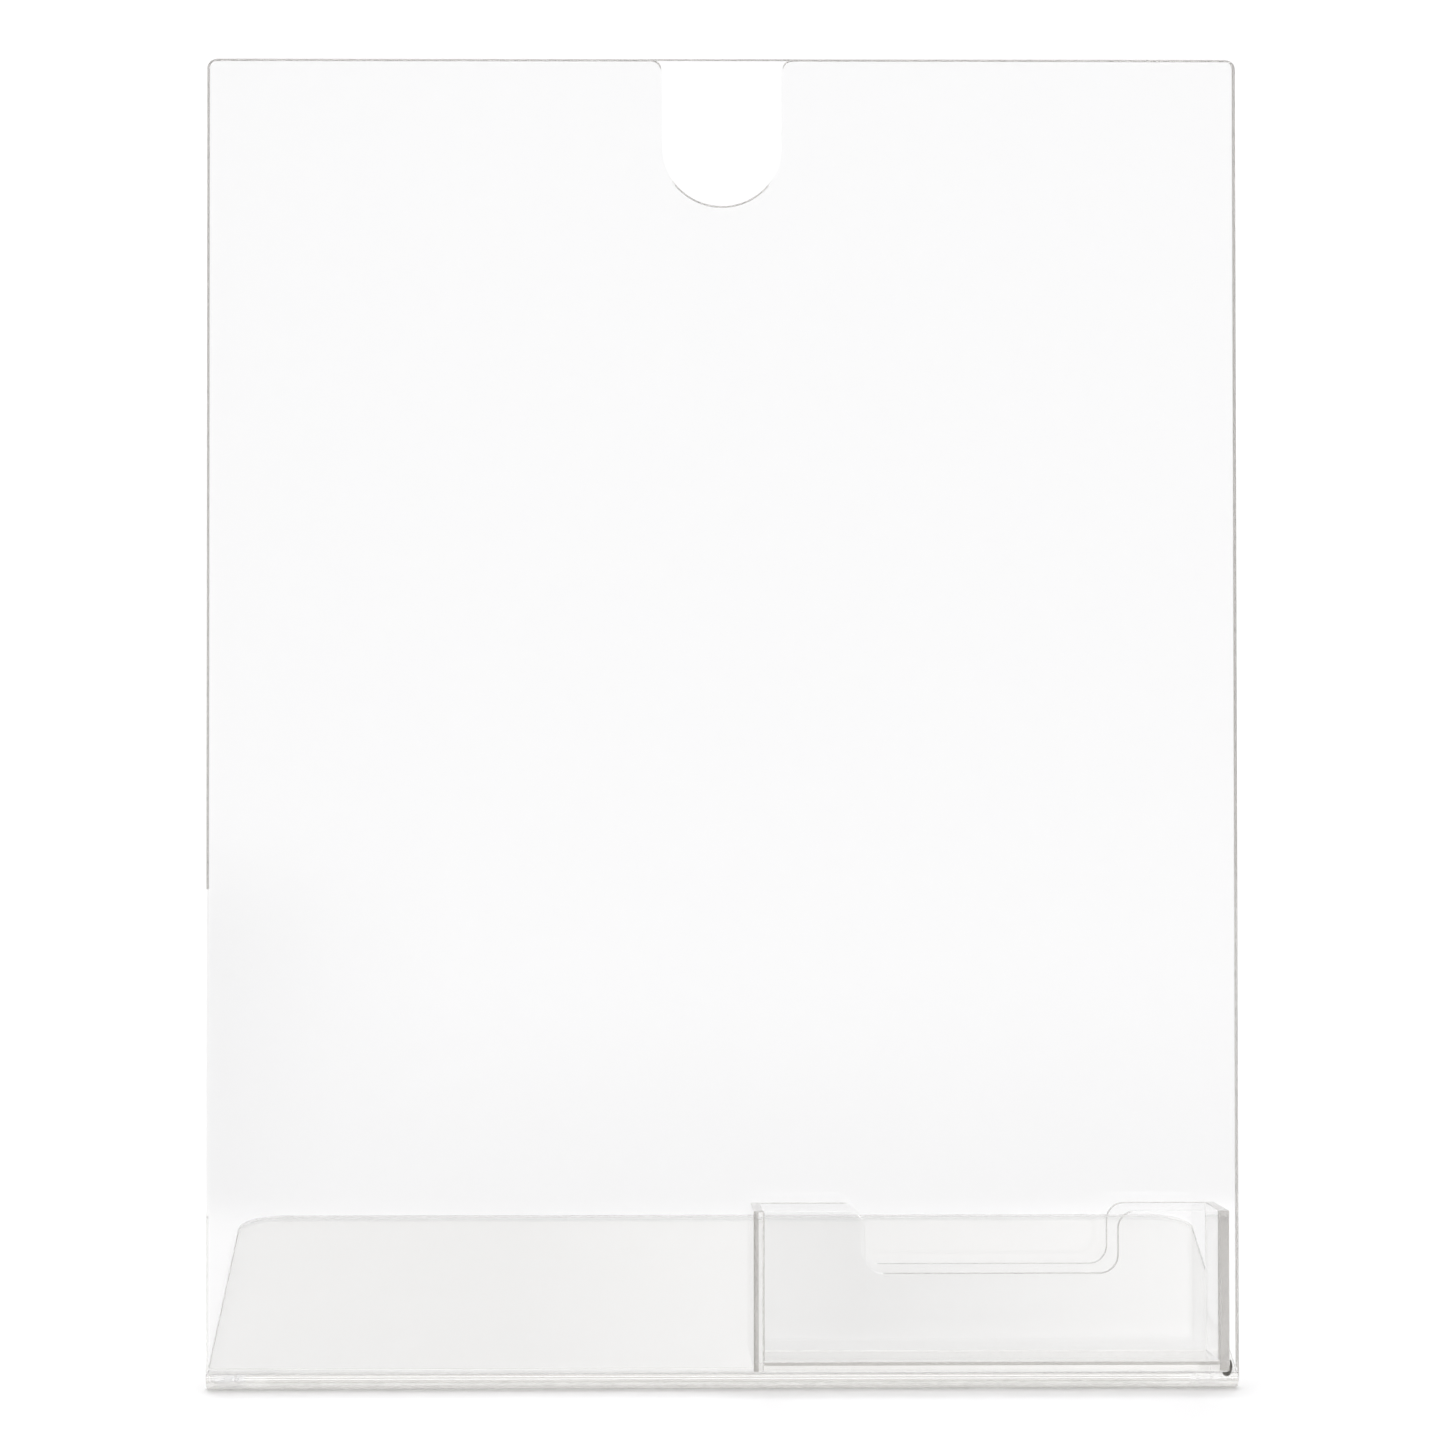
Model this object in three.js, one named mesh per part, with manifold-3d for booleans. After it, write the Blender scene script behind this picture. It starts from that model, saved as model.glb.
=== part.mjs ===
// Slanted sign holder for one upright sheet, with a small card pocket on its front face.
// It is made of clear acrylic sheet: one heat-bent sheet is both the leaning front panel and the
// foot, a flat panel stands close behind it to hold the insert, and five flat pieces make the pocket.
//
// Millimetres, +Z up, +X to the right as seen from the front, +Y towards the back.
// The origin is the centre of the foot's flat underside.

import * as THREE from 'three';
import { mergeVertices } from 'three/addons/utils/BufferGeometryUtils.js';
import Module from 'manifold-3d';

const wasm = await Module();
wasm.setup();

// Driving dimensions
const SHEET_WIDTH = 217; // a little wider than the 215.9 sheet that it holds
const SHEET_THICKNESS = 3;
const SLOPE_HEIGHT = 280; // from the bend's lowest point to the front panel's top edge, along the slope
const LEAN = THREE.MathUtils.degToRad(14); // how far the panel leans back from upright
const FOOT_DEPTH = 114.3; // from the front of the bend to the foot's rear edge
const BEND_OUTER_RADIUS = 3.5;
const INSERT_GAP = 1.3; // between the front panel and the back panel
const BACK_PANEL_RISE = 0.7; // how far the back panel's top edge stands above the front panel's
const PANEL_CORNER_RADIUS = 2;
const FOOT_CORNER_RADIUS = 9.5;

const THUMB_NOTCH_WIDTH = 25.4;
const THUMB_NOTCH_DEPTH = 31;
const THUMB_NOTCH_LEAD_IN = 2.3; // radius of the rounded lips at its mouth

const POCKET_WIDTH = 97.6;
const POCKET_HEIGHT = 32.9;
const POCKET_DEPTH = 30; // out from the front panel's face
const POCKET_SHEET = 2; // thickness of its walls and floor
const POCKET_CENTRE_X = 54.6;
const POCKET_UNDERSIDE = 6.2; // height of its underside, along the slope
const POCKET_NOTCH_WIDTH = 51.8;
const POCKET_NOTCH_DEPTH = 12.7;
const POCKET_NOTCH_FILLET = 3.7;

const JOINT_GAP = 0.3; // clearance at each cemented joint
const CUT_MARGIN = 1; // how far a cutting tool reaches past the surface that it cuts
const ARC_SEGMENTS = 8; // half the number of flats along each arc

// Derived places
const BEND_INNER_RADIUS = BEND_OUTER_RADIUS - SHEET_THICKNESS;
const FOOT_FLAT = FOOT_DEPTH - BEND_OUTER_RADIUS;
const BEND_CENTRE = new THREE.Vector2(-FOOT_FLAT / 2, BEND_OUTER_RADIUS); // (y, z)
const HALF_WIDTH = SHEET_WIDTH / 2;
const UP_SLOPE = new THREE.Vector2(Math.sin(LEAN), Math.cos(LEAN)); // (y, z)
const OUT_OF_FACE = new THREE.Vector2(-Math.cos(LEAN), Math.sin(LEAN)); // (y, z)
const POCKET_TOP = POCKET_UNDERSIDE + POCKET_HEIGHT;
const POCKET_FLOOR_TOP = POCKET_UNDERSIDE + POCKET_SHEET;
const POCKET_SPAN = POCKET_WIDTH - 2 * (POCKET_SHEET + JOINT_GAP); // width of what is between its side walls

// The slope frame: x across, y up the front panel's face from the bend's lowest point, z out of the face
const SLOPE_ORIGIN = BEND_CENTRE.clone()
  .addScaledVector(OUT_OF_FACE, BEND_OUTER_RADIUS)
  .addScaledVector(UP_SLOPE, -BEND_OUTER_RADIUS);
const SLOPE_FRAME = new THREE.Matrix4()
  .makeRotationX(Math.PI / 2 - LEAN)
  .setPosition(0, SLOPE_ORIGIN.x, SLOPE_ORIGIN.y);

const clearAcrylic = (color) =>
  new THREE.MeshStandardMaterial({ color, roughness: 0.06, metalness: 0, transparent: true, opacity: 0.3 });

function toSolid(geometry) {
  const bare = geometry.clone();
  bare.deleteAttribute('normal');
  bare.deleteAttribute('uv');
  const merged = mergeVertices(bare);
  return new wasm.Manifold(new wasm.Mesh({
    numProp: 3,
    vertProperties: new Float32Array(merged.attributes.position.array),
    triVerts: new Uint32Array(merged.index.array),
  }));
}

function toGeometry(solid) {
  const mesh = solid.getMesh();
  const geometry = new THREE.BufferGeometry();
  geometry.setAttribute('position', new THREE.BufferAttribute(mesh.vertProperties, mesh.numProp));
  geometry.setIndex(new THREE.BufferAttribute(mesh.triVerts, 1));
  geometry.computeVertexNormals();
  return geometry;
}

// A flat plate with this outline, its back face at height z = 0
function plate(shape, thickness) {
  return new THREE.ExtrudeGeometry(shape, {
    depth: thickness,
    bevelEnabled: false,
    curveSegments: ARC_SEGMENTS,
  });
}

// The sliver to cut away to round a square corner at the origin. side is 1 for the corner at the
// outline's right and -1 for the one at its left.
function cornerOffcut(radius, side, thickness) {
  const shape = new THREE.Shape();
  shape.moveTo(-side * radius, CUT_MARGIN);
  shape.lineTo(side * CUT_MARGIN, CUT_MARGIN);
  shape.lineTo(side * CUT_MARGIN, -radius);
  shape.lineTo(0, -radius);
  shape.absarc(-side * radius, -radius, radius, side > 0 ? 0 : Math.PI, Math.PI / 2, side < 0);
  return plate(shape, thickness);
}

// The U-shaped cut at the top of the front panel, with rounded lips. Its top edge is y = 0.
function thumbNotchShape() {
  const half = THUMB_NOTCH_WIDTH / 2;
  const lip = THUMB_NOTCH_LEAD_IN;
  const shape = new THREE.Shape();
  shape.moveTo(-half - lip, CUT_MARGIN);
  shape.lineTo(-half - lip, 0);
  shape.absarc(-half - lip, -lip, lip, Math.PI / 2, 0, true);
  shape.absarc(0, half - THUMB_NOTCH_DEPTH, half, Math.PI, 2 * Math.PI, false);
  shape.absarc(half + lip, -lip, lip, Math.PI, Math.PI / 2, true);
  shape.lineTo(half + lip, CUT_MARGIN);
  return shape;
}

// The side profile of the bent sheet in (y, z): across the top edge, down the front face, round the
// bend, along the foot to its rear edge, and back along the inner faces
function bentSheetProfile() {
  const rear = FOOT_FLAT / 2;
  const faceAngle = Math.PI - LEAN;
  const downAngle = 1.5 * Math.PI;
  const frontTop = BEND_CENTRE.clone()
    .addScaledVector(OUT_OF_FACE, BEND_OUTER_RADIUS)
    .addScaledVector(UP_SLOPE, SLOPE_HEIGHT - BEND_OUTER_RADIUS);
  const backTop = frontTop.clone().addScaledVector(OUT_OF_FACE, -SHEET_THICKNESS);
  const shape = new THREE.Shape();
  shape.moveTo(backTop.x, backTop.y);
  shape.lineTo(frontTop.x, frontTop.y);
  shape.absarc(BEND_CENTRE.x, BEND_CENTRE.y, BEND_OUTER_RADIUS, faceAngle, downAngle, false);
  shape.lineTo(rear, 0);
  shape.lineTo(rear, SHEET_THICKNESS);
  shape.absarc(BEND_CENTRE.x, BEND_CENTRE.y, BEND_INNER_RADIUS, downAngle, faceAngle, true);
  return shape;
}

// The profile's plane is turned so that it lies across the holder and the extrusion runs along X
function bentFrontSheet() {
  const profileToWorld = new THREE.Matrix4()
    .makeBasis(new THREE.Vector3(0, 1, 0), new THREE.Vector3(0, 0, 1), new THREE.Vector3(1, 0, 0))
    .setPosition(-HALF_WIDTH, 0, 0);
  let sheet = toSolid(plate(bentSheetProfile(), SHEET_WIDTH).applyMatrix4(profileToWorld));

  const cutDepth = SHEET_THICKNESS + 2 * CUT_MARGIN;
  const throughPanel = -SHEET_THICKNESS - CUT_MARGIN;
  const notch = plate(thumbNotchShape(), cutDepth)
    .translate(0, SLOPE_HEIGHT, throughPanel)
    .applyMatrix4(SLOPE_FRAME);
  sheet = sheet.subtract(toSolid(notch));
  for (const side of [-1, 1]) {
    const topCorner = cornerOffcut(PANEL_CORNER_RADIUS, side, cutDepth)
      .translate(side * HALF_WIDTH, SLOPE_HEIGHT, throughPanel)
      .applyMatrix4(SLOPE_FRAME);
    const rearCorner = cornerOffcut(FOOT_CORNER_RADIUS, side, cutDepth)
      .translate(side * HALF_WIDTH, FOOT_FLAT / 2, -CUT_MARGIN);
    sheet = sheet.subtract(toSolid(topCorner)).subtract(toSolid(rearCorner));
  }
  return toGeometry(sheet);
}

// The back panel's lower edge is square to its faces. The foot rises towards the back in the slope
// frame, so the edge's rear corner is the one that stands on it.
function backPanelShape(backFaceZ) {
  const footTopRise = BEND_OUTER_RADIUS - BEND_INNER_RADIUS * Math.cos(LEAN);
  const behindBend = -backFaceZ - BEND_OUTER_RADIUS - BEND_INNER_RADIUS * Math.sin(LEAN);
  const bottom = footTopRise + behindBend * Math.tan(LEAN) + JOINT_GAP;
  const top = SLOPE_HEIGHT + BACK_PANEL_RISE;
  const radius = PANEL_CORNER_RADIUS;
  const shape = new THREE.Shape();
  shape.moveTo(-HALF_WIDTH, bottom);
  shape.lineTo(HALF_WIDTH, bottom);
  shape.absarc(HALF_WIDTH - radius, top - radius, radius, 0, Math.PI / 2, false);
  shape.absarc(radius - HALF_WIDTH, top - radius, radius, Math.PI / 2, Math.PI, false);
  return shape;
}

// The pocket's front and back walls: a low rectangle with a wide dip in the middle of its top edge,
// rounded at all four corners of the dip
function notchedWallShape() {
  const half = POCKET_SPAN / 2;
  const bottom = POCKET_FLOOR_TOP + JOINT_GAP;
  const dip = POCKET_TOP - POCKET_NOTCH_DEPTH;
  const side = POCKET_NOTCH_WIDTH / 2;
  const r = POCKET_NOTCH_FILLET;
  const shape = new THREE.Shape();
  shape.moveTo(-half, bottom);
  shape.lineTo(half, bottom);
  shape.lineTo(half, POCKET_TOP);
  shape.absarc(side + r, POCKET_TOP - r, r, Math.PI / 2, Math.PI, false);
  shape.absarc(side - r, dip + r, r, 0, -Math.PI / 2, true);
  shape.absarc(r - side, dip + r, r, -Math.PI / 2, -Math.PI, true);
  shape.absarc(-side - r, POCKET_TOP - r, r, 0, Math.PI / 2, false);
  shape.lineTo(-half, POCKET_TOP);
  return shape;
}

function rectangleShape(width, height) {
  const shape = new THREE.Shape();
  shape.moveTo(-width / 2, 0);
  shape.lineTo(width / 2, 0);
  shape.lineTo(width / 2, height);
  shape.lineTo(-width / 2, height);
  return shape;
}

function addMesh(parent, name, geometry, color, x = 0, y = 0, z = 0) {
  const mesh = new THREE.Mesh(geometry, clearAcrylic(color));
  mesh.name = name;
  mesh.position.set(x, y, z);
  parent.add(mesh);
}

// The five pieces of the card pocket, in the slope frame. The floor lies between the side walls, and
// the front and back walls stand on it.
function addPocket(parent) {
  const depth = POCKET_DEPTH - JOINT_GAP;
  addMesh(parent, 'pocket_floor', plate(rectangleShape(POCKET_SPAN, POCKET_SHEET), depth), 0xe9edec,
    POCKET_CENTRE_X, POCKET_UNDERSIDE, JOINT_GAP);
  const walls = { pocket_left_wall: -1, pocket_right_wall: 1 };
  for (const [name, side] of Object.entries(walls)) {
    addMesh(parent, name, plate(rectangleShape(POCKET_SHEET, POCKET_HEIGHT), depth), 0xe3e8e7,
      POCKET_CENTRE_X + side * (POCKET_WIDTH - POCKET_SHEET) / 2, POCKET_UNDERSIDE, JOINT_GAP);
  }
  addMesh(parent, 'pocket_back_wall', plate(notchedWallShape(), POCKET_SHEET), 0xe6ebea,
    POCKET_CENTRE_X, 0, JOINT_GAP);
  addMesh(parent, 'pocket_front_wall', plate(notchedWallShape(), POCKET_SHEET), 0xe6ebea,
    POCKET_CENTRE_X, 0, POCKET_DEPTH - POCKET_SHEET);
}

const holder = new THREE.Group();
addMesh(holder, 'bent_front_sheet', bentFrontSheet(), 0xeef1f0);

const onSlope = new THREE.Group();
onSlope.applyMatrix4(SLOPE_FRAME);
holder.add(onSlope);

const backPanelBack = -2 * SHEET_THICKNESS - INSERT_GAP;
addMesh(onSlope, 'back_panel', plate(backPanelShape(backPanelBack), SHEET_THICKNESS), 0xeaefee,
  0, 0, backPanelBack);
addPocket(onSlope);

export default holder;
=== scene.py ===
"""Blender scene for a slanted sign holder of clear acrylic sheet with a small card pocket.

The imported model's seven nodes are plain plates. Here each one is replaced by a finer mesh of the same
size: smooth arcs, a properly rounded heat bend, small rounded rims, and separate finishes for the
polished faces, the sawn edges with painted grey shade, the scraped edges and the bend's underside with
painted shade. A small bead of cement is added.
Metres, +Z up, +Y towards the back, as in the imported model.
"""

import math
import random

import bmesh
import bpy
from mathutils import Matrix, Vector


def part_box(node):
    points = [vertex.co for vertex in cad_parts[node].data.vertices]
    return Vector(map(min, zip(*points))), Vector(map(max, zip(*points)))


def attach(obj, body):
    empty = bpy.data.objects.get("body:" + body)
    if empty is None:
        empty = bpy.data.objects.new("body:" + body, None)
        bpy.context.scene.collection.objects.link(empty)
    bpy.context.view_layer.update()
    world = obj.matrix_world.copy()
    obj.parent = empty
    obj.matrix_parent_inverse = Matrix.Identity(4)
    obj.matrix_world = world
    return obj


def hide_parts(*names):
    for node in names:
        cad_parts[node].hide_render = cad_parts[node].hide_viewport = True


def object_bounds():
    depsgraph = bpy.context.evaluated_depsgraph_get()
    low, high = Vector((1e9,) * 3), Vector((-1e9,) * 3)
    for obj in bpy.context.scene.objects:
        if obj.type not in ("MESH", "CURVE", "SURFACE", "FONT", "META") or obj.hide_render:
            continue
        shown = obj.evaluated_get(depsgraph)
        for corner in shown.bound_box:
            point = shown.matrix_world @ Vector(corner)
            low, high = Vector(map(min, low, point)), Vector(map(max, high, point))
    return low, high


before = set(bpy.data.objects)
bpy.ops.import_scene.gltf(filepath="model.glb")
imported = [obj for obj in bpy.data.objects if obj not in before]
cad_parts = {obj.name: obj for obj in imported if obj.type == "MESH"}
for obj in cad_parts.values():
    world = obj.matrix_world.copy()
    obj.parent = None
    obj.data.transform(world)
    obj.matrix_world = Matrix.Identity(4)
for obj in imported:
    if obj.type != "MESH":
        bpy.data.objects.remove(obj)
cad_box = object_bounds()

MM = 0.001

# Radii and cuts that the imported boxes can't state
BEND_OUTER_RADIUS = 3.5 * MM
PANEL_CORNER_RADIUS = 2 * MM
FOOT_CORNER_RADIUS = 9.5 * MM
THUMB_NOTCH_WIDTH = 25.4 * MM
THUMB_NOTCH_DEPTH = 31 * MM
THUMB_NOTCH_LEAD_IN = 2.3 * MM
POCKET_NOTCH_WIDTH = 51.8 * MM
POCKET_NOTCH_DEPTH = 12.7 * MM
POCKET_NOTCH_FILLET = 3.7 * MM

# Finish of the sheet
PANEL_RIM = 0.2 * MM  # rounding where a face meets an edge
POCKET_RIM = 0.2 * MM
POCKET_BACK_RIM = 0.12 * MM
RIM_SEGMENTS = 3
SHARP_EDGE = math.radians(30)  # an edge that turns more than this gets a rounded rim
ARC_STEP = math.radians(5)
BEND_STRIPS = 52
CLEARANCE = 0.3 * MM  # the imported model's gap at a cemented joint
CEMENT_FILM = 0.02 * MM  # what is left of it here
GROWTH = CLEARANCE - CEMENT_FILM  # how far a plate grows to close its joint

FACE, SAWN_SHADED, SCRAPED, SHADED_UNDERSIDE = 0, 1, 2, 3  # material slots of every sheet; the sawn edges' grey and the bend underside's darker grey are painted shade
SQUARE_TO_FACE = 0.999  # the least part of a face's normal that counts as square to the sheet
SAWN_SHADED_FLOOR_EDGE = 0.35  # the part of the pocket floor's front edge, from the top, that stayed sawn, grey with painted shade
SCRAPED_LEFT_EDGE = 105 * MM  # how far up the slope the two panels' left edges are scraped
SAWN_SHADED_REAR_EDGE = 0.6 * MM  # how far down from its top the foot's rear edge stayed sawn, grey with painted shade
SAWN_SHADED_NOTCH_FLOOR = 0.8  # the part of the thumb notch's half width where its round bottom stayed sawn, grey with painted shade
SHADED_BEND_PART = 0.74  # the part of the bend, from the bottom, that is painted darker as shade where it faces the floor


# ---------------------------------------------------------------- places from the imported model


def lean_angle():
    """How far the panels lean back from upright, from the back panel's largest face."""
    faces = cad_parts["back_panel"].data.polygons
    return math.asin(abs(max(faces, key=lambda face: face.area).normal.z))


LEAN = lean_angle()
SHEET_LOW, SHEET_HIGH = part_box("bent_front_sheet")
BEND_CENTRE = SHEET_LOW + Vector((0, BEND_OUTER_RADIUS, BEND_OUTER_RADIUS))
UP_SLOPE = Vector((0, math.sin(LEAN), math.cos(LEAN)))
OUT_OF_FACE = Vector((0, -math.cos(LEAN), math.sin(LEAN)))


def slope_frame():
    """x across, y up the front face from the bend's lowest point, z out of the front face."""
    origin = BEND_CENTRE + BEND_OUTER_RADIUS * (OUT_OF_FACE - UP_SLOPE)
    origin.x = 0
    axes = Matrix((Vector((1, 0, 0)), UP_SLOPE, OUT_OF_FACE)).transposed()
    return Matrix.Translation(origin) @ axes.to_4x4()


SLOPE = slope_frame()


def slope_box(node):
    """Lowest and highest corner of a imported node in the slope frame."""
    into_slope = SLOPE.inverted()
    points = [into_slope @ v.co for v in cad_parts[node].data.vertices]
    low = Vector([min(p[i] for p in points) for i in range(3)])
    high = Vector([max(p[i] for p in points) for i in range(3)])
    return low, high


# ---------------------------------------------------------------- outlines


def arc(centre, radius, start, end):
    """Points along an arc, ends included. Angles in degrees, either way round."""
    turn = math.radians(end - start)
    count = max(2, math.ceil(abs(turn) / ARC_STEP))
    angles = [math.radians(start) + turn * i / count for i in range(count + 1)]
    return [(centre[0] + radius * math.cos(a), centre[1] + radius * math.sin(a)) for a in angles]


def thumb_notch(top):
    """The U-shaped cut at the top of the front panel with its rounded lips, from right to left."""
    half = THUMB_NOTCH_WIDTH / 2
    lip = THUMB_NOTCH_LEAD_IN
    return [
        *arc((half + lip, top - lip), lip, 90, 180),
        *arc((0, top - THUMB_NOTCH_DEPTH + half), half, 0, -180),
        *arc((-half - lip, top - lip), lip, 0, 90),
    ]


def pocket_dip(middle, top):
    """The wide dip in the pocket's front and back walls, from right to left."""
    half = POCKET_NOTCH_WIDTH / 2
    r = POCKET_NOTCH_FILLET
    floor = top - POCKET_NOTCH_DEPTH
    return [
        *arc((middle + half + r, top - r), r, 90, 180),
        *arc((middle + half - r, floor + r), r, 0, -90),
        *arc((middle - half + r, floor + r), r, 270, 180),
        *arc((middle - half - r, top - r), r, 0, 90),
    ]


def rectangle(left, bottom, right, top):
    return [(left, bottom), (right, bottom), (right, top), (left, top)]


# ---------------------------------------------------------------- meshes


def rounded_plate(outline, low, high, rim):
    """A flat plate with this outline between two heights, with every sharp edge rounded."""
    bm = bmesh.new()
    base = bm.faces.new([bm.verts.new((x, y, low)) for x, y in outline])
    grown = bmesh.ops.extrude_face_region(bm, geom=[base])["geom"]
    lifted = [v for v in grown if isinstance(v, bmesh.types.BMVert)]
    bmesh.ops.translate(bm, verts=lifted, vec=(0, 0, high - low))
    bmesh.ops.recalc_face_normals(bm, faces=bm.faces)
    sharp = [e for e in bm.edges if e.calc_face_angle() > SHARP_EDGE]
    bmesh.ops.bevel(
        bm, geom=sharp, offset=rim, segments=RIM_SEGMENTS, profile=0.5, affect="EDGES"
    )
    return bm


def cut(bm, place, direction):
    """Adds a line of edges where a plane meets the mesh."""
    everything = [*bm.verts, *bm.edges, *bm.faces]
    bmesh.ops.bisect_plane(bm, geom=everything, plane_co=place, plane_no=direction)


def give_finishes(bm, is_scraped):
    """Marks the polished faces, square to the thinnest direction, the sawn edges, grey with painted
    shade, and the scraped edges.
    is_scraped says which from the centre of a part of the edge."""
    spans = [max(v.co[i] for v in bm.verts) - min(v.co[i] for v in bm.verts) for i in range(3)]
    thin = spans.index(min(spans))
    for face in bm.faces:
        face.normal_update()
        face.smooth = True
        if abs(face.normal[thin]) > SQUARE_TO_FACE:
            face.material_index = FACE
        else:
            face.material_index = SCRAPED if is_scraped(face.calc_center_median()) else SAWN_SHADED


def new_piece(name, bm, materials):
    """Turns a bmesh into a piece that rides on the holder."""
    bmesh.ops.recalc_face_normals(bm, faces=bm.faces)
    mesh = bpy.data.meshes.new(name)
    bm.to_mesh(mesh)
    bm.free()
    for material in materials:
        mesh.materials.append(material)
    piece = bpy.data.objects.new(name, mesh)
    bpy.context.scene.collection.objects.link(piece)
    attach(piece, "root")
    return piece


def finish_sheet(name, bm, node, materials):
    """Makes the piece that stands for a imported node, with its large faces shaded flat."""
    piece = new_piece(name, bm, materials)
    flat = piece.modifiers.new("flat_faces", "WEIGHTED_NORMAL")
    flat.mode = "FACE_AREA"
    flat.weight = 100
    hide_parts(node)


def finish_slope_plate(name, bm, node, materials, is_scraped):
    """Finishes a flat piece that was made in the slope frame."""
    give_finishes(bm, is_scraped)
    bmesh.ops.transform(bm, matrix=SLOPE, verts=bm.verts)
    finish_sheet(name, bm, node, materials)


def bend(point, foot_flat, bend_length):
    """Where a point of the flat sheet goes once the sheet is bent. y runs from the foot's rear edge
    towards the top of the panel and z is the depth below the outer face."""
    x, along, depth = point
    turned = min(max(along - foot_flat, 0) / bend_length, 1) * (math.pi / 2 + LEAN)
    angle = 1.5 * math.pi - turned
    radial = Vector((0, math.cos(angle), math.sin(angle)))
    place = BEND_CENTRE + (BEND_OUTER_RADIUS - depth) * radial
    place.y += max(foot_flat - along, 0)
    place += UP_SLOPE * max(along - foot_flat - bend_length, 0)
    place.x = x
    return place


def flat_sheet_outline(top):
    """The bent sheet before it is bent: y runs from the foot's rear edge to the top of the panel."""
    half = SHEET_HIGH.x
    rear, corner = FOOT_CORNER_RADIUS, PANEL_CORNER_RADIUS
    return [
        *arc((rear - half, rear), rear, 180, 270),
        *arc((half - rear, rear), rear, 270, 360),
        *arc((half - corner, top - corner), corner, 0, 90),
        *thumb_notch(top),
        *arc((corner - half, top - corner), corner, 90, 180),
    ]


def mark_shaded_underside(bm, start, end):
    """Paints shade on the outer face between two places along the flat sheet, as the bend's darker
    underside.
    """
    for face in bm.faces:
        at = face.calc_center_median()
        if at.z < PANEL_RIM and start < at.y < end:
            face.material_index = SHADED_UNDERSIDE


def bent_front_sheet(materials):
    """The front panel and the foot, made flat with all its cuts and then bent, as the real one is."""
    back_low, back_high = slope_box("back_panel")
    thickness = back_high.z - back_low.z
    foot_flat = SHEET_HIGH.y - BEND_CENTRE.y
    bend_length = BEND_OUTER_RADIUS * (math.pi / 2 + LEAN)
    panel_start = foot_flat + bend_length - BEND_OUTER_RADIUS  # where the slope's height is 0
    top = panel_start + slope_box("bent_front_sheet")[1].y
    edge_turn = panel_start + SCRAPED_LEFT_EDGE
    rear_shaded_from = thickness - SAWN_SHADED_REAR_EDGE
    bm = rounded_plate(flat_sheet_outline(top), 0, thickness, PANEL_RIM)
    for strip in range(BEND_STRIPS + 1):
        cut(bm, (0, foot_flat + bend_length * strip / BEND_STRIPS, 0), (0, 1, 0))
    cut(bm, (0, edge_turn, 0), (0, 1, 0))
    cut(bm, (0, 0, rear_shaded_from), (0, 0, 1))
    notch_half = THUMB_NOTCH_WIDTH / 2

    def is_scraped(at):
        if at.y < PANEL_RIM:
            return at.z < rear_shaded_from
        in_notch = SAWN_SHADED_NOTCH_FLOOR * notch_half < abs(at.x) < notch_half + PANEL_RIM
        return at.y < (edge_turn if at.x < 0 else foot_flat) or (in_notch and at.y < top - PANEL_RIM)

    give_finishes(bm, is_scraped)
    # paint shade on the outside of the bend's underside
    mark_shaded_underside(bm, foot_flat, foot_flat + SHADED_BEND_PART * bend_length)
    for vert in bm.verts:
        vert.co = bend(vert.co, foot_flat, bend_length)
    finish_sheet("clear_front_and_foot", bm, "bent_front_sheet", materials)


def back_panel(materials):
    """The flat panel behind the insert, lowered until it almost touches the foot. Its bottom edge is
    scraped, and so is the lower part of its left edge."""
    low, high = slope_box("back_panel")
    bottom = low.y - GROWTH
    r = PANEL_CORNER_RADIUS
    outline = [
        (low.x, bottom),
        (high.x, bottom),
        *arc((high.x - r, high.y - r), r, 0, 90),
        *arc((low.x + r, high.y - r), r, 90, 180),
    ]
    bm = rounded_plate(outline, low.z, high.z, PANEL_RIM)
    cut(bm, (0, SCRAPED_LEFT_EDGE, 0), (0, 1, 0))
    finish_slope_plate(
        "clear_back_panel", bm, "back_panel", materials,
        is_scraped=lambda at: at.y < (SCRAPED_LEFT_EDGE if at.x < 0 else bottom + PANEL_RIM),
    )


def pocket_floor(materials):
    """The floor, between the side walls. The upper part of its front edge is sawn, grey with painted
    shade.
    """
    low, high = slope_box("pocket_floor")
    shaded_from = high.y - SAWN_SHADED_FLOOR_EDGE * (high.y - low.y)
    outline = rectangle(low.x - GROWTH, low.y, high.x + GROWTH, high.y)
    bm = rounded_plate(outline, CEMENT_FILM, high.z, POCKET_RIM)
    cut(bm, (0, shaded_from, 0), (0, 1, 0))
    finish_slope_plate(
        "clear_pocket_floor", bm, "pocket_floor", materials,
        is_scraped=lambda at: at.z < high.z - POCKET_RIM or at.y < shaded_from,
    )


def pocket_side(side, materials):
    """A side wall. The right one's top and front edges are sawn. The left one's top edge is sawn, and
    so are the outer halves of its other edges. The sawn edges are grey with painted shade."""
    low, high = slope_box(f"pocket_{side}_wall")
    middle = (low.x + high.x) / 2
    outline = rectangle(low.x, low.y, high.x, high.y)
    bm = rounded_plate(outline, CEMENT_FILM, high.z, POCKET_RIM)
    cut(bm, (middle, 0, 0), (1, 0, 0))

    def is_scraped(at):
        if at.y > high.y - POCKET_RIM:
            return False
        if side == "left":
            return at.x > middle
        return at.z < high.z - POCKET_RIM

    finish_slope_plate(
        f"clear_pocket_{side}", bm, f"pocket_{side}_wall", materials, is_scraped
    )


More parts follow.
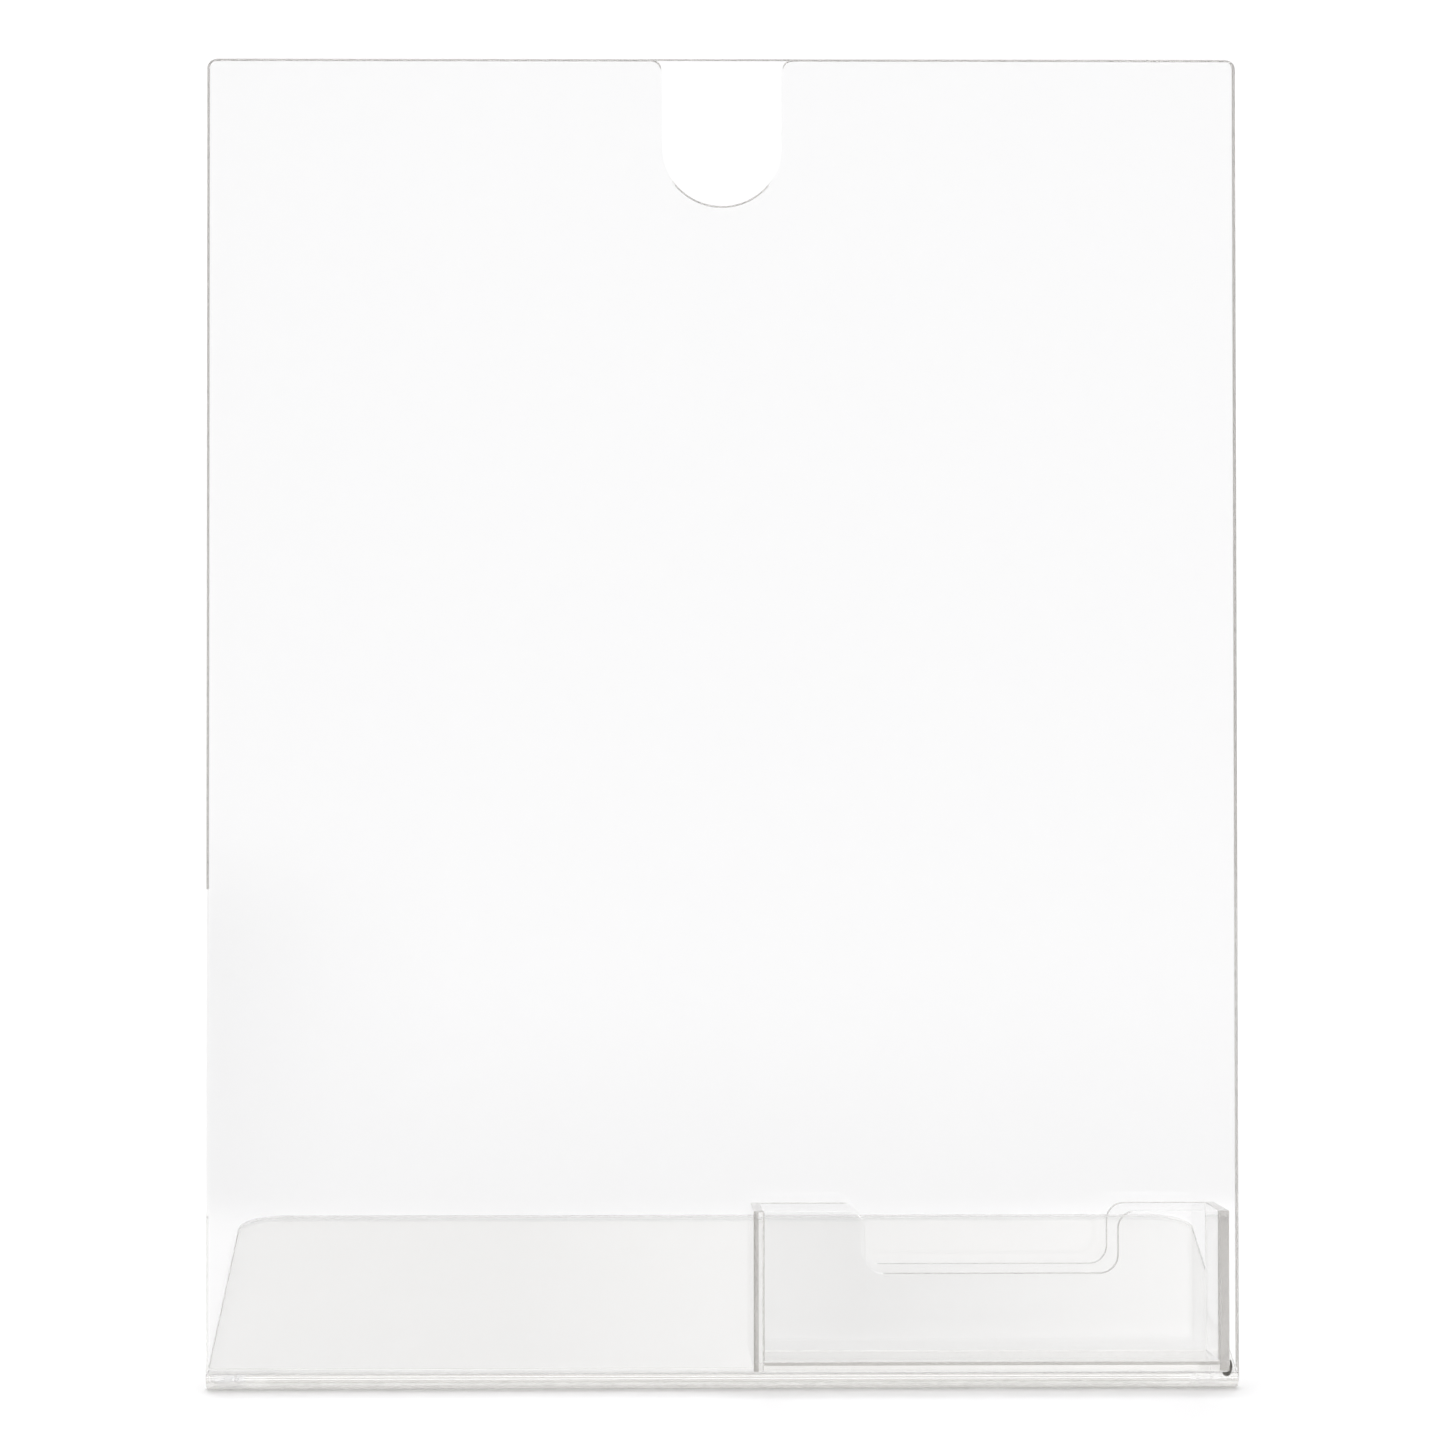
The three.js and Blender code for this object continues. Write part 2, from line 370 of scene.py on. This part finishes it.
def pocket_wide_wall(face, materials):
    """The pocket's back or front wall, with the dip in its top edge. Its bottom and the dip's left
    curve are scraped, and so are the back wall's ends and the front wall's top. Its other edges are
    sawn, grey with painted shade."""
    low, high = slope_box(f"pocket_{face}_wall")
    rim = POCKET_BACK_RIM if face == "back" else POCKET_RIM
    left, right, bottom = low.x - GROWTH, high.x + GROWTH, low.y - GROWTH
    outline = [
        (left, bottom),
        (right, bottom),
        (right, high.y),
        *pocket_dip((left + right) / 2, high.y),
        (left, high.y),
    ]
    back = CEMENT_FILM if face == "back" else low.z
    bm = rounded_plate(outline, back, back + high.z - low.z, rim)
    dip_left = (left + right - POCKET_NOTCH_WIDTH) / 2

    def is_scraped(at):
        if abs(at.x - dip_left) < POCKET_NOTCH_FILLET and at.y < high.y - rim:
            return True
        if face == "back":
            return at.y < low.y or not low.x < at.x < high.x
        return at.y < low.y or at.y > high.y - rim

    finish_slope_plate(
        f"clear_pocket_{face}", bm, f"pocket_{face}_wall", materials, is_scraped
    )


# ---------------------------------------------------------------- cement that ran out of a joint

# The bead curls round the pocket's lower right corner: its middle line from the top down, in mm right
# of the wall's outer face, above the floor's underside and in front of the wall's front edge, with the
# bead's radius at each place
BEAD = [
    (0.14, 2.3, -0.5, 0.1),
    (0.33, 1.6, -0.6, 0.26),
    (0.36, 0.9, -0.7, 0.33),
    (0.2, 0.05, -0.8, 0.32),
    (-0.25, -0.6, -0.95, 0.5),
    (-0.9, -0.6, -0.95, 0.4),
    (-1.4, -0.35, -0.9, 0.15),
]
BEAD_SIDES = 14
BEAD_STEPS = 6  # steps from one place to the next
BEAD_UNEVENNESS = 0.12
BEAD_SEED = 7


def smooth_path(points, steps):
    """Points on a smooth curve through these, as Catmull-Rom pieces. Each is a tuple of numbers."""
    ends = [points[0], *points, points[-1]]
    path = []
    for piece in zip(ends, ends[1:], ends[2:], ends[3:]):
        for i in range(steps):
            path.append([between(i / steps, *values) for values in zip(*piece)])
    return [*path, points[-1]]


def between(t, before, start, end, after):
    """One number on a Catmull-Rom curve, at start where t is 0 and at end where it is 1."""
    linear = end - before
    square = 2 * before - 5 * start + 4 * end - after
    cube = 3 * start - before - 3 * end + after
    return 0.5 * (2 * start + linear * t + square * t * t + cube * t ** 3)


def tube(middles, radii):
    """A tube with a ring round each of these points, closed at both ends."""
    bm = bmesh.new()
    rings = []
    last = len(middles) - 1
    out_of_face = Vector((0, 0, 1))
    for i, (middle, radius) in enumerate(zip(middles, radii)):
        along = (middles[min(i + 1, last)] - middles[max(i - 1, 0)]).normalized()
        side = along.cross(out_of_face).normalized()
        turns = [2 * math.pi * k / BEAD_SIDES for k in range(BEAD_SIDES)]
        spokes = [side * math.cos(turn) + out_of_face * math.sin(turn) for turn in turns]
        rings.append([bm.verts.new(middle + spoke * radius) for spoke in spokes])
    for lower, upper in zip(rings, rings[1:]):
        for k in range(BEAD_SIDES):
            after = (k + 1) % BEAD_SIDES
            bm.faces.new((lower[k], lower[after], upper[after], upper[k]))
    bm.faces.new(rings[0])
    bm.faces.new(rings[-1])
    for face in bm.faces:
        face.smooth = True
    return bm


def cement_bead(material):
    """The dark bead of cement, a little uneven in thickness."""
    wall_high = slope_box("pocket_right_wall")[1]
    corner = Vector((wall_high.x, slope_box("pocket_floor")[0].y, wall_high.z))
    places = smooth_path(BEAD, BEAD_STEPS)
    random.seed(BEAD_SEED)
    middles = [corner + Vector(place[:3]) * MM for place in places]
    radii = [place[3] * MM * random.uniform(1 - BEAD_UNEVENNESS, 1) for place in places]
    bm = tube(middles, radii)
    bmesh.ops.transform(bm, matrix=SLOPE, verts=bm.verts)
    new_piece("cement_bead", bm, (material,))


# ---------------------------------------------------------------- materials

ACRYLIC_IOR = 1.49
CLEAR_TINT = (0.984, 0.984, 0.984)
SCRAPED_TINT = (0.985, 0.983, 0.98)
# the sawn edges' grey is painted shade: the dark lines the edges show
SAWN_SHADE_TINT = (0.45, 0.435, 0.415)
# the bend's underside: a mottled darker grey painted on as shade where it faces the floor
UNDERSIDE_SHADE_TINTS = ((0.72, 0.71, 0.69), (0.62, 0.61, 0.59))
CEMENT_TINT = (0.16, 0.15, 0.135)
FLOOR_TINT = (0.9, 0.9, 0.9)
MIX_LOW, MIX_HIGH, MIX_RESULT = 6, 7, 2  # places of the Mix node's colour sockets


def new_material(name):
    material = bpy.data.materials.new(name)
    material.use_nodes = True
    return material, material.node_tree, material.node_tree.nodes["Principled BSDF"]


def new_plastic(name, tint, transmission):
    """A material with the settings that all the clear plastics share."""
    material, tree, shader = new_material(name)
    shader.inputs["Base Color"].default_value = (*tint, 1)
    shader.inputs["Transmission Weight"].default_value = transmission
    shader.inputs["IOR"].default_value = ACRYLIC_IOR
    return material, tree, shader


def add_node(tree, kind, **values):
    """A node with its settings and plain input values. In an input's name, _ stands for a space."""
    node = tree.nodes.new(kind)
    for name, value in values.items():
        if hasattr(node, name):
            setattr(node, name, value)
        else:
            node.inputs[name.replace("_", " ")].default_value = value
    return node


def noise(tree, scale, detail=2.0, stretch=(1, 1, 1)):
    """Noise in the object's own space. scale is in features per metre."""
    where = tree.nodes.new("ShaderNodeTexCoord")
    mapping = add_node(tree, "ShaderNodeMapping")
    mapping.inputs["Scale"].default_value = [scale * s for s in stretch]
    field = add_node(tree, "ShaderNodeTexNoise", Scale=1.0, Detail=detail)
    tree.links.new(where.outputs["Object"], mapping.inputs["Vector"])
    tree.links.new(mapping.outputs["Vector"], field.inputs["Vector"])
    return field.outputs["Fac"]


def remap(tree, source, from_range, to_range, interpolation="SMOOTHSTEP"):
    node = add_node(tree, "ShaderNodeMapRange", interpolation_type=interpolation)
    for name, value in zip(("From Min", "From Max", "To Min", "To Max"), (*from_range, *to_range)):
        node.inputs[name].default_value = value
    tree.links.new(source, node.inputs["Value"])
    return node.outputs["Result"]


def mix_colour(tree, factor, low, high):
    """low where factor is 0 and high where it is 1. Either may be a colour or a socket."""
    node = add_node(tree, "ShaderNodeMix", data_type="RGBA")
    tree.links.new(factor, node.inputs["Factor"])
    for socket, value in ((node.inputs[MIX_LOW], low), (node.inputs[MIX_HIGH], high)):
        if isinstance(value, tuple):
            socket.default_value = (*value, 1)
        else:
            tree.links.new(value, socket)
    return node.outputs[MIX_RESULT]


def polished_acrylic():
    """The faces of the sheet: almost perfectly clear, with faint wipe marks and a slight waviness."""
    material, tree, shader = new_plastic("polished_acrylic", CLEAR_TINT, 1)
    smudges = remap(tree, noise(tree, 35, 4), (0.6, 0.8), (0, 0.03))
    tree.links.new(smudges, shader.inputs["Roughness"])
    waves = add_node(tree, "ShaderNodeBump", Strength=0.03, Distance=0.0004)
    tree.links.new(noise(tree, 22, 1), waves.inputs["Height"])
    tree.links.new(waves.outputs["Normal"], shader.inputs["Normal"])
    return material


def sawn_shaded_edge():
    """The edges as the saw left them: duller, with fine marks, and a grey painted on as shade for the
    dark lines they show.
    """
    material, tree, shader = new_plastic("sawn_shaded_edge", SAWN_SHADE_TINT, 0.8)
    dull = remap(tree, noise(tree, 240, 3), (0.35, 0.65), (0.06, 0.14))
    tree.links.new(dull, shader.inputs["Roughness"])
    marks = add_node(tree, "ShaderNodeBump", Strength=0.12, Distance=0.00005)
    tree.links.new(noise(tree, 900, 2), marks.inputs["Height"])
    tree.links.new(marks.outputs["Normal"], shader.inputs["Normal"])
    return material


def scraped_edge():
    """The edges that were scraped smooth: nearly as clear as the faces."""
    material, tree, shader = new_plastic("scraped_edge", SCRAPED_TINT, 1)
    dull = remap(tree, noise(tree, 240, 3), (0.45, 0.7), (0, 0.04))
    tree.links.new(dull, shader.inputs["Roughness"])
    return material


def shaded_underside_acrylic():
    """The underside of the bend: hazy, and painted a darker mottled grey as shade where it faces the
    floor. Seen from inside the sheet it stays bright."""
    material, tree, shader = new_plastic("shaded_underside_acrylic", CLEAR_TINT, 0.85)
    blotches = remap(tree, noise(tree, 420, 4, stretch=(1, 2, 2)), (0.35, 0.7), (0, 1))
    outside = mix_colour(tree, blotches, *UNDERSIDE_SHADE_TINTS)
    from_inside = tree.nodes.new("ShaderNodeNewGeometry").outputs["Backfacing"]
    both_sides = mix_colour(tree, from_inside, outside, CLEAR_TINT)
    tree.links.new(both_sides, shader.inputs["Base Color"])
    tree.links.new(remap(tree, blotches, (0, 1), (0.12, 0.2)), shader.inputs["Roughness"])
    return material


def cured_cement():
    """Solvent cement that ran out of a joint: a dark glossy bead."""
    material, tree, shader = new_plastic("cured_cement", CEMENT_TINT, 0.5)
    dull = remap(tree, noise(tree, 1500, 2), (0.4, 0.7), (0.03, 0.25))
    tree.links.new(dull, shader.inputs["Roughness"])
    return material


def pale_floor():
    material, tree, shader = new_material("pale_floor")
    shader.inputs["Base Color"].default_value = (*FLOOR_TINT, 1)
    shader.inputs["Roughness"].default_value = 1
    shader.inputs["Specular IOR Level"].default_value = 0
    return material


# ---------------------------------------------------------------- studio and camera

FLOOR_SIDE = 60  # far enough for its edge to be lost in the dome
FLOOR_GAP = 0.15 * MM  # the air film under the foot
TOP_LIGHT = (1.57, 1.57, 1.59)
BEHIND_LIGHT = (0.80, 0.785, 0.75)
RIGHT_SIDE_LIGHT = (0.5, 0.5, 0.5)
HORIZON_LIGHT = (1.1, 1.1, 1.1)

# The part of the dome in front, which the panel mirrors. Each band has its height, as the sine of the
# elevation, and its brightness at places across it, as the sine of the angle to the right.
FRONT_BANDS = (
    (0.156, ((-0.02, 0.5), (0.015, 0.8), (0.03, 1.15), (0.1, 1.75))),
    (0.163, ((-0.02, 0.5), (0.015, 0.8), (0.04, 0.64), (0.1, 1.1))),
    (0.179, ((-0.02, 0.5), (0.015, 0.8), (0.04, 0.64), (0.1, 1.1))),
    (0.185, ((-0.07, 0.0), (-0.05, 0.2), (0.05, 0.25))),
    (0.225, ((-0.07, 0.0), (-0.05, 0.3), (-0.03, 0.44))),
    (0.25, ((-0.07, 0.4), (-0.03, 0.44))),
)
BAND_SPREAD = 0.1  # how far to each side the bands are drawn; they go on unchanged beyond it

# Where one part of the dome gives way to the next, as parts of a direction of length 1
RIGHT_SIDE_SPAN = (0.3, 0.7)  # across
FRONT_SPAN = (-0.9, -0.5)  # back
HORIZON_SPAN = (0.06, 0.11)  # up
TOP_SPAN = (0.45, 0.8)  # up


def add_floor():
    bpy.ops.mesh.primitive_plane_add(size=FLOOR_SIDE, location=(0, 0, cad_box[0].z - FLOOR_GAP))
    floor = bpy.context.object
    floor.name = "floor"
    floor.data.materials.append(pale_floor())


def tones_across(tree, across, tones):
    """Brightness from left to right."""
    factor = remap(tree, across, (-BAND_SPREAD, BAND_SPREAD), (0, 1), "LINEAR")
    node = tree.nodes.new("ShaderNodeValToRGB")
    tree.links.new(factor, node.inputs["Fac"])
    stops = node.color_ramp.elements
    stops.remove(stops[1])
    for place, level in tones:
        stop = stops[0] if (place, level) == tones[0] else stops.new(1)
        stop.position = (place + BAND_SPREAD) / (2 * BAND_SPREAD)
        stop.color = (level, level, level, 1)
    return node.outputs["Color"]


def add_studio_light():
    """A soft dome: brightest overhead, duller in front, where the panel mirrors it."""
    world = bpy.data.worlds.new("studio")
    bpy.context.scene.world = world
    world.use_nodes = True
    tree = world.node_tree
    direction = tree.nodes.new("ShaderNodeTexCoord").outputs["Generated"]
    split = tree.nodes.new("ShaderNodeSeparateXYZ")
    tree.links.new(direction, split.inputs[0])
    across, back, up = split.outputs

    def fade(part, span, low, high):
        """low below the span and high above it."""
        return mix_colour(tree, remap(tree, part, span, (0, 1)), low, high)

    front = tones_across(tree, across, FRONT_BANDS[0][1])
    for (below, _), (height, tones) in zip(FRONT_BANDS, FRONT_BANDS[1:]):
        front = fade(up, (below, height), front, tones_across(tree, across, tones))
    sides = fade(across, RIGHT_SIDE_SPAN, BEHIND_LIGHT, RIGHT_SIDE_LIGHT)
    middle = fade(back, FRONT_SPAN, front, sides)
    lower = fade(up, HORIZON_SPAN, HORIZON_LIGHT, middle)
    whole = fade(up, TOP_SPAN, lower, TOP_LIGHT)
    tree.links.new(whole, tree.nodes["Background"].inputs["Color"])


CAMERA_PLACE = SLOPE @ (Vector((-19.67, 111.53, 1209.83)) * MM)
CAMERA_SENSOR = 36  # mm
CAMERA_LENS = 143.24  # mm
CAMERA_ROLL = math.radians(0.178)
NEAREST_SEEN, FARTHEST_SEEN = 0.05, 200
LIGHT_BOUNCES = 128  # a sheet guides light along its length, and each reflection inside it counts


def add_camera():
    """Stands in front and above, aimed at the middle of the front panel."""
    data = bpy.data.cameras.new("camera")
    data.sensor_width = CAMERA_SENSOR
    data.lens = CAMERA_LENS
    data.clip_start = NEAREST_SEEN
    data.clip_end = FARTHEST_SEEN
    camera = bpy.data.objects.new("camera", data)
    bpy.context.scene.collection.objects.link(camera)
    target = SLOPE @ Vector((0, slope_box("bent_front_sheet")[1].y / 2, 0))
    turn = (target - CAMERA_PLACE).to_track_quat("-Z", "Y").to_matrix().to_4x4()
    camera.matrix_world = (
        Matrix.Translation(CAMERA_PLACE) @ turn @ Matrix.Rotation(CAMERA_ROLL, 4, "Z")
    )
    bpy.context.scene.camera = camera


def set_look():
    """Plain tones, and enough bounces for light that crosses many clear faces."""
    scene = bpy.context.scene
    scene.view_settings.view_transform = "Standard"
    scene.cycles.max_bounces = LIGHT_BOUNCES
    scene.cycles.transmission_bounces = LIGHT_BOUNCES
    scene.cycles.glossy_bounces = LIGHT_BOUNCES
    scene.cycles.blur_glossy = 0  # otherwise light that reaches the floor through the sheets is lost
    scene.cycles.use_denoising = True


# ---------------------------------------------------------------- the scene

add_camera()
add_studio_light()
add_floor()
set_look()

SHEET_MATERIALS = (polished_acrylic(), sawn_shaded_edge(), scraped_edge(), shaded_underside_acrylic())
bent_front_sheet(SHEET_MATERIALS)
back_panel(SHEET_MATERIALS)
pocket_floor(SHEET_MATERIALS)
for side in ("left", "right"):
    pocket_side(side, SHEET_MATERIALS)
for face in ("back", "front"):
    pocket_wide_wall(face, SHEET_MATERIALS)
cement_bead(cured_cement())
